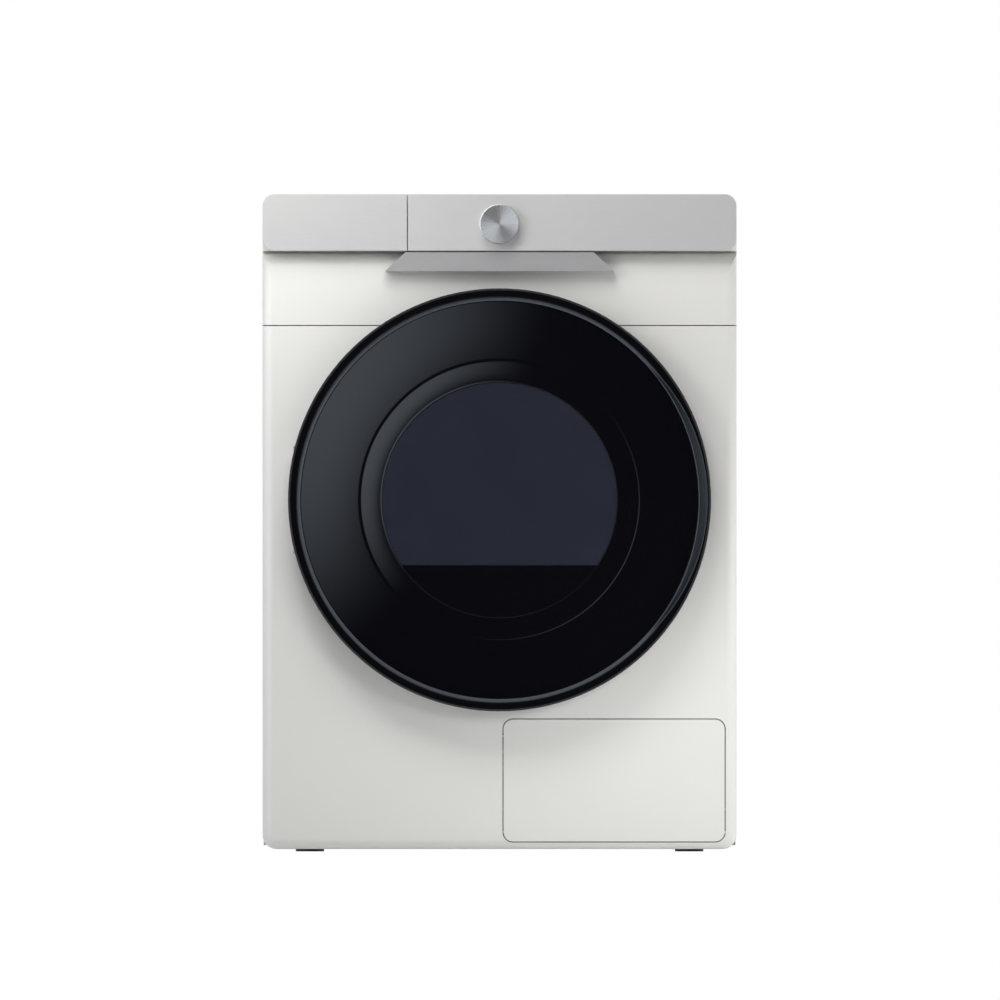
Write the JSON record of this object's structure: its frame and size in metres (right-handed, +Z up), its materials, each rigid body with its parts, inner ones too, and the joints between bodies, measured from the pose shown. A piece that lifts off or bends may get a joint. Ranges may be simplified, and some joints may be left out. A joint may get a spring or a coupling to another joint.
{
  "type": "clothes dryer",
  "caption": "Front-loading heat-pump clothes dryer with a round glass door, turning drum, programme knob, pull-out water tank, lift-out lint filter and a low service flap.",
  "frame": {"origin": "centre of the footprint on the floor, under the feet", "axes": "+X to the right seen from the front, +Y from the door to the back, +Z up"},
  "size_m": [0.6, 0.65, 0.832],
  "materials": {
    "white_enamel": "smooth gloss enamel",
    "galvanised_sheet": "zinc-coated sheet",
    "console_silver": "satin silver",
    "chin_silver": "satin silver",
    "knob_metal": "circular brushed",
    "gloss_black": "high gloss",
    "tinted_pane": "tinted",
    "clear_bowl": "clear",
    "grip_grey": "satin",
    "liner_grey": "fine texture",
    "black_plastic": "moulded",
    "dark_tray": "moulded",
    "seal_rubber": "matt",
    "belt_rubber": "ribbed",
    "drum_steel": "stainless",
    "lifter_plastic": "satin",
    "felt": "felt",
    "bronze": "sintered",
    "copper": "drawn tube",
    "fin_aluminium": "mill",
    "compressor_black": "satin",
    "motor_metal": "cast",
    "shaft_steel": "ground",
    "duct_plastic": "moulded",
    "circuit_board": "solder mask",
    "tank_plastic": "milky",
    "filter_plastic": "moulded with mesh",
    "screw_steel": "zinc"
  },
  "bodies": {
    "cabinet": {"base_tray": "dark_tray", "left_side_panel": "white_enamel", "right_side_panel": "white_enamel", "rear_panel": "galvanised_sheet", "top_cover": "white_enamel", "upper_front_panel": "white_enamel", "lower_front_panel": "white_enamel", "panel_screws": "screw_steel", "front_bulkhead": "galvanised_sheet", "door_throat": "liner_grey", "rear_bulkhead": "galvanised_sheet", "door_seal": "seal_rubber", "drum_front_felt": "felt", "drum_bearing": "bronze", "motor_housing": "motor_metal", "drive_belt": "belt_rubber", "heat_exchanger_duct": "duct_plastic", "heat_exchangers": "fin_aluminium", "heat_exchanger_cover": "duct_plastic", "compressor": "compressor_black", "refrigerant_pipes": "copper", "condensate_pump": "black_plastic", "door_catch": "black_plastic", "hinge_bracket": "shaft_steel", "console_fascia": "console_silver", "console_housing": "black_plastic", "console_chin": "chin_silver", "display_board": "circuit_board", "tank_housing": "duct_plastic", "control_box": "black_plastic", "cord_gland": "black_plastic", "drain_spigot": "black_plastic"},
    "door": {"door_ring": "gloss_black", "door_grip": "grip_grey", "door_cover": "gloss_black", "door_window": "tinted_pane", "door_inner_frame": "liner_grey", "door_bowl": "clear_bowl", "door_hinge_arms": "shaft_steel", "door_strike": "black_plastic"},
    "drum": {"drum_shell": "drum_steel", "drum_rear_wall": "drum_steel", "drum_lifters": "lifter_plastic"},
    "left_roller": {"left_roller": "belt_rubber"},
    "right_roller": {"right_roller": "belt_rubber"},
    "motor": {"motor_shaft": "shaft_steel", "fan_impeller": "black_plastic"},
    "idler_arm": {"idler_arm": "shaft_steel"},
    "idler_pulley": {"idler_pulley": "black_plastic"},
    "knob": {"knob": "knob_metal"},
    "tank": {"tank_front": "console_silver", "water_tank": "tank_plastic"},
    "lint_filter": {"lint_filter": "filter_plastic"},
    "service_flap": {"service_flap": "white_enamel"},
    "left_cover_latch": {"left_cover_latch": "filter_plastic"},
    "right_cover_latch": {"right_cover_latch": "filter_plastic"},
    "front_left_foot": {"front_left_foot": "black_plastic"},
    "front_right_foot": {"front_right_foot": "black_plastic"},
    "rear_left_foot": {"rear_left_foot": "black_plastic"},
    "rear_right_foot": {"rear_right_foot": "black_plastic"}
  },
  "joints": [
    {"name": "door_hinge", "type": "hinge", "parent": "cabinet", "child": "door", "pos_m": [-0.255, -0.303, 0.445], "axis": [0, 0, -1], "range_deg": [0, 115]},
    {"name": "knob_spin", "type": "hinge", "parent": "cabinet", "child": "knob", "pos_m": [0, -0.31, 0.794], "axis": [0, 1, 0], "continuous": true},
    {"name": "tank_slide", "type": "slide", "parent": "cabinet", "child": "tank", "axis": [0, -1, 0], "range_m": [0, 0.4]},
    {"name": "lint_filter_lift", "type": "slide", "parent": "cabinet", "child": "lint_filter", "axis": [0, 0, 1], "range_m": [0, 0.2]},
    {"name": "service_flap_hinge", "type": "hinge", "parent": "cabinet", "child": "service_flap", "pos_m": [0.145, -0.275, 0.024], "axis": [1, 0, 0], "range_deg": [0, 90]},
    {"name": "left_cover_latch_turn", "type": "hinge", "parent": "cabinet", "child": "left_cover_latch", "pos_m": [0.052, -0.255, 0.099], "axis": [0, 1, 0], "range_deg": [0, 90]},
    {"name": "right_cover_latch_turn", "type": "hinge", "parent": "cabinet", "child": "right_cover_latch", "pos_m": [0.266, -0.255, 0.099], "axis": [0, 1, 0], "range_deg": [0, 90]},
    {"name": "drum_spin", "type": "hinge", "parent": "cabinet", "child": "drum", "pos_m": [0, 0, 0.445], "axis": [0, 1, 0], "continuous": true},
    {"name": "left_roller_spin", "type": "hinge", "parent": "cabinet", "child": "left_roller", "pos_m": [-0.15791, -0.182, 0.21949], "axis": [0, 1, 0], "continuous": true},
    {"name": "right_roller_spin", "type": "hinge", "parent": "cabinet", "child": "right_roller", "pos_m": [0.15791, -0.182, 0.21949], "axis": [0, 1, 0], "continuous": true},
    {"name": "motor_spin", "type": "hinge", "parent": "cabinet", "child": "motor", "pos_m": [-0.15, 0, 0.095], "axis": [0, 1, 0], "continuous": true},
    {"name": "idler_arm_pivot", "type": "hinge", "parent": "cabinet", "child": "idler_arm", "pos_m": [-0.01, -0.007, 0.08], "axis": [0, -1, 0], "range_deg": [0, 12], "stiffness_Nm_per_rad": 2, "springref_deg": -11.46},
    {"name": "idler_pulley_spin", "type": "hinge", "parent": "idler_arm", "child": "idler_pulley", "pos_m": [-0.058, -0.02, 0.112], "axis": [0, 1, 0], "continuous": true},
    {"name": "front_left_foot_screw", "type": "slide", "parent": "cabinet", "child": "front_left_foot", "axis": [0, 0, -1], "range_m": [0, 0.015]},
    {"name": "front_right_foot_screw", "type": "slide", "parent": "cabinet", "child": "front_right_foot", "axis": [0, 0, -1], "range_m": [0, 0.015]},
    {"name": "rear_left_foot_screw", "type": "slide", "parent": "cabinet", "child": "rear_left_foot", "axis": [0, 0, -1], "range_m": [0, 0.015]},
    {"name": "rear_right_foot_screw", "type": "slide", "parent": "cabinet", "child": "rear_right_foot", "axis": [0, 0, -1], "range_m": [0, 0.015]}
  ],
  "couplings": [
    {"joint": "left_roller_spin", "follows": "drum_spin", "ratio": -8.1667},
    {"joint": "right_roller_spin", "follows": "drum_spin", "ratio": -8.1667},
    {"joint": "motor_spin", "follows": "drum_spin", "ratio": 31.556},
    {"joint": "idler_pulley_spin", "follows": "drum_spin", "ratio": -17.75}
  ]
}
